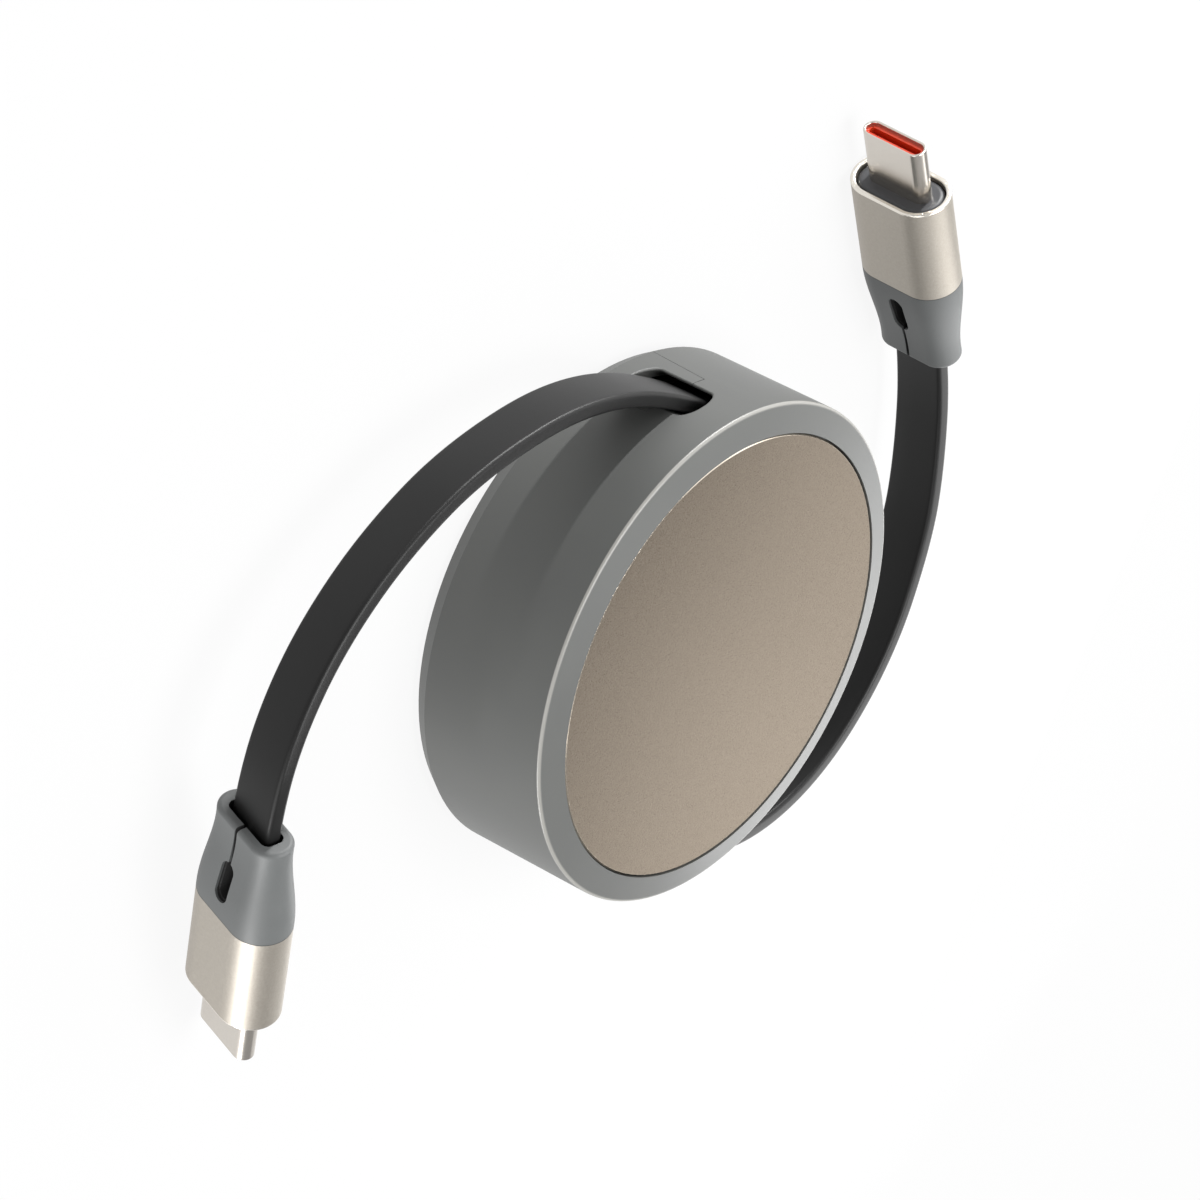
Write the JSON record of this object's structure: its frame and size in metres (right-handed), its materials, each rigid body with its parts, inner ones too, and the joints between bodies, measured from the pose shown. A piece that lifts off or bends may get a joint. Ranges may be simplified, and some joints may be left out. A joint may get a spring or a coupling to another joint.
{
  "type": "retractable charging cable",
  "caption": "Flat charging lead with a reversible plug at each end, wound both ways on a sprung reel in a round drum housing with a metal trim disc on its front.",
  "frame": {"origin": "centre of the housing's back face, which lies on the table", "axes": "+Z along the reel axis from the back face to the trim disc; +Y through outlet A and -Y through outlet B"},
  "size_m": [0.1187, 0.0801, 0.0185],
  "materials": {
    "housing_grey": "fine matt moulded plastic",
    "trim_champagne": "fine blasted and anodised",
    "tape_foam": "thin foam tape",
    "reel_plastic": "dark moulded plastic",
    "washer_plastic": "smooth slip sheet",
    "pawl_plastic": "smooth moulded plastic",
    "screw_steel": "zinc-plated",
    "spring_steel": "blued strip and wire",
    "cable_jacket": "satin flat jacket",
    "plug_nickel": "satin nickel",
    "core_orange": "glossy moulded insulator",
    "contact_gold": "gold-plated",
    "board_green": "solder-masked laminate",
    "seat_dark": "satin moulded plastic",
    "sleeve_champagne": "bead-blasted, anodised, polished rim",
    "boot_grey": "matt moulded strain relief"
  },
  "bodies": {
    "housing": {"front_shell": "housing_grey", "back_cover": "housing_grey", "front_disc": "trim_champagne", "disc_tape": "tape_foam", "spring_post": "housing_grey", "slip_washer": "washer_plastic", "power_spring": "spring_steel", "pawl_spring": "spring_steel", "cable_a": "cable_jacket", "cable_b": "cable_jacket"},
    "reel": {"spool": "reel_plastic", "spring_barrel": "reel_plastic", "spool_screws": "screw_steel", "wound_cable": "cable_jacket"},
    "pawl": {"pawl": "pawl_plastic"},
    "plug_a": {"plug_a_tip_shell": "plug_nickel", "plug_a_core": "core_orange", "plug_a_contacts": "contact_gold", "plug_a_board": "board_green", "plug_a_seat": "seat_dark", "plug_a_sleeve": "sleeve_champagne", "plug_a_boot": "boot_grey"},
    "plug_b": {"plug_b_tip_shell": "plug_nickel", "plug_b_core": "core_orange", "plug_b_contacts": "contact_gold", "plug_b_board": "board_green", "plug_b_seat": "seat_dark", "plug_b_sleeve": "sleeve_champagne", "plug_b_boot": "boot_grey"}
  },
  "joints": [
    {"name": "reel_turn", "type": "hinge", "parent": "housing", "child": "reel", "pos_m": [0, 0, 0], "axis": [0, 0, 1], "range_deg": [-165, 53], "deforming": ["power_spring", "cable_a", "cable_b"]},
    {"name": "plug_a_draw", "type": "hinge", "parent": "housing", "child": "plug_a", "pos_m": [-0.0245, -0.0082, 0], "axis": [0, 0, 1], "range_deg": [-92, 30], "deforming": ["cable_a"]},
    {"name": "plug_b_draw", "type": "hinge", "parent": "housing", "child": "plug_b", "pos_m": [0.0159, 0.0009, 0], "axis": [0, 0, 1], "range_deg": [-124, 40], "deforming": ["cable_b"]},
    {"name": "pawl_swing", "type": "hinge", "parent": "housing", "child": "pawl", "pos_m": [-0.00126, -0.01444, 0.0026], "axis": [0, 0, 1], "range_deg": [-4, 4], "stiffness_Nm_per_rad": 0.0004, "deforming": ["pawl_spring"]}
  ],
  "couplings": [
    {"joint": "plug_a_draw", "follows": "reel_turn", "ratio": 0.5552},
    {"joint": "plug_b_draw", "follows": "reel_turn", "ratio": 0.7491}
  ]
}
